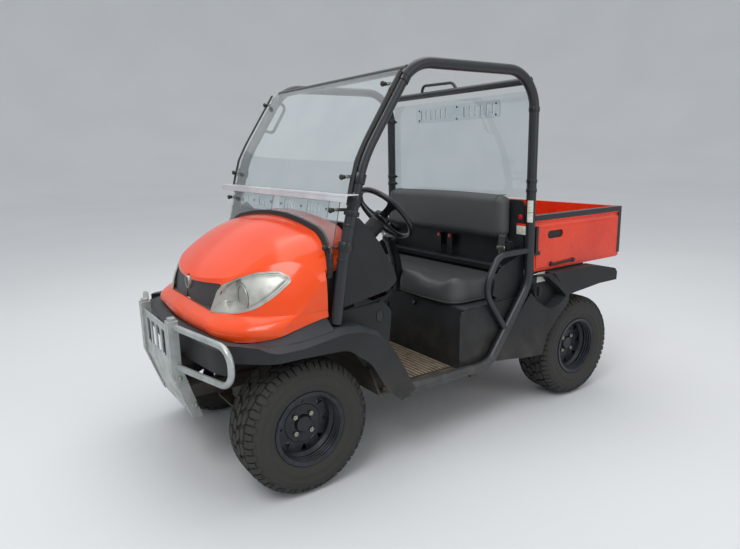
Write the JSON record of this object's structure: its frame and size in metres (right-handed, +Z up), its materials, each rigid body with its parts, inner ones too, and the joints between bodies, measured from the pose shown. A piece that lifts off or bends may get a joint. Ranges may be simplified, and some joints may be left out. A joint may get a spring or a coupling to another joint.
{
  "type": "side by side utility vehicle",
  "caption": "Two-seat side by side utility vehicle with roll cage, clear windshield, bench seat, steered front wheels and a tilting cargo bed with a tailgate.",
  "frame": {"origin": "centre of the bounding box, on the ground", "axes": "+X to the driver's side, -Y the front, +Y the rear, +Z up"},
  "size_m": [1.38, 2.656, 1.8653],
  "materials": {
    "hood_orange": "gloss, dusty",
    "bed_orange": "satin paint",
    "black_plastic": "grained moulding",
    "cage_black": "satin powder coat",
    "frame_black": "chassis paint, dusty",
    "guard_silver": "silver powder coat",
    "tyre_rubber": "dusty rubber",
    "rim_black": "satin enamel",
    "seat_vinyl": "black vinyl",
    "mat_rubber": "dusty ribbed mat",
    "seal_rubber": "matt",
    "clear_sheet": "clear polycarbonate",
    "lamp_silver": "silver moulding",
    "engine_grey": "cast",
    "axle_grey": "painted casting"
  },
  "bodies": {
    "chassis": {"chassis_frame": "frame_black", "front_subframe": "frame_black", "front_differential": "axle_grey", "lower_arms": "frame_black", "steering_rack": "axle_grey", "rear_axle": "axle_grey", "leaf_springs": "frame_black", "engine_block": "engine_grey", "hood": "hood_orange", "grille": "black_plastic", "headlights": "lamp_silver", "front_bumper": "black_plastic", "front_fenders": "black_plastic", "cowl_panels": "black_plastic", "dashboard": "black_plastic", "steering_column": "black_plastic", "floor_pan": "frame_black", "floor_mat": "mat_rubber", "seat_base": "black_plastic", "seat_cushion": "seat_vinyl", "seat_backrest": "seat_vinyl", "headboard": "black_plastic", "seat_belts": "black_plastic", "side_hoop_left": "cage_black", "side_hoop_right": "cage_black", "hip_guards": "cage_black", "cage_crossbars": "cage_black", "windshield_lower": "clear_sheet", "windshield_seal": "seal_rubber", "windshield_ledge": "clear_sheet", "windshield_upper": "clear_sheet", "rear_window": "clear_sheet", "quarter_panels": "black_plastic", "fuel_cap": "black_plastic", "rear_fenders": "black_plastic", "bed_mounts": "frame_black", "brush_guard": "guard_silver", "grille_badge": "lamp_silver", "headlight_lenses": "clear_sheet", "side_shields": "black_plastic", "windshield_edging": "seal_rubber"},
    "steer_left": {"knuckle_left": "axle_grey"},
    "steer_right": {"knuckle_right": "axle_grey"},
    "steering": {"steering_wheel": "black_plastic"},
    "rod_bar": {"tie_rods": "axle_grey"},
    "wheel_front_left": {"tyre_front_left": "tyre_rubber", "rim_front_left": "rim_black"},
    "wheel_front_right": {"tyre_front_right": "tyre_rubber", "rim_front_right": "rim_black"},
    "wheel_rear_left": {"tyre_rear_left": "tyre_rubber", "rim_rear_left": "rim_black"},
    "wheel_rear_right": {"tyre_rear_right": "tyre_rubber", "rim_rear_right": "rim_black"},
    "bed": {"bed_sides": "bed_orange", "bed_rails": "cage_black", "bed_latches": "frame_black", "bed_floor": "bed_orange", "bed_headboard": "bed_orange"},
    "gate": {"tailgate": "bed_orange"}
  },
  "joints": [
    {"name": "steer_left_turn", "type": "hinge", "parent": "chassis", "child": "steer_left", "pos_m": [0.486, -0.872, 0.19], "axis": [-0.2181, 0, 0.9759], "range_deg": [-28, 28]},
    {"name": "steer_right_turn", "type": "hinge", "parent": "chassis", "child": "steer_right", "pos_m": [-0.486, -0.872, 0.19], "axis": [0.2181, 0, 0.9759], "range_deg": [-28, 28]},
    {"name": "steering_wheel_turn", "type": "hinge", "parent": "chassis", "child": "steering", "pos_m": [0.27, -0.199, 1.148], "axis": [0, 0.766, 0.6428], "range_deg": [-450, 450]},
    {"name": "rod_slide", "type": "slide", "parent": "chassis", "child": "rod_bar", "axis": [1, 0, 0], "range_m": [-0.0385, 0.0385]},
    {"name": "wheel_front_left_spin", "type": "hinge", "parent": "steer_left", "child": "wheel_front_left", "pos_m": [0.527, -0.872, 0.3], "axis": [1, 0, 0], "continuous": true},
    {"name": "wheel_front_right_spin", "type": "hinge", "parent": "steer_right", "child": "wheel_front_right", "pos_m": [-0.527, -0.872, 0.3], "axis": [1, 0, 0], "continuous": true},
    {"name": "wheel_rear_left_spin", "type": "hinge", "parent": "chassis", "child": "wheel_rear_left", "pos_m": [0.536, 0.928, 0.3], "axis": [1, 0, 0], "continuous": true},
    {"name": "wheel_rear_right_spin", "type": "hinge", "parent": "chassis", "child": "wheel_rear_right", "pos_m": [-0.536, 0.928, 0.3], "axis": [1, 0, 0], "continuous": true},
    {"name": "bed_tilt", "type": "hinge", "parent": "chassis", "child": "bed", "pos_m": [0, 1.158, 0.708], "axis": [-1, 0, 0], "range_deg": [0, 45]},
    {"name": "tailgate_drop", "type": "hinge", "parent": "bed", "child": "gate", "pos_m": [0, 1.314, 0.812], "axis": [-1, 0, 0], "range_deg": [0, 90]}
  ],
  "couplings": [
    {"joint": "steer_right_turn", "follows": "steer_left_turn", "ratio": 1},
    {"joint": "steering_wheel_turn", "follows": "steer_left_turn", "ratio": 16},
    {"joint": "rod_slide", "follows": "steer_left_turn", "m_per_rad": -0.078}
  ]
}
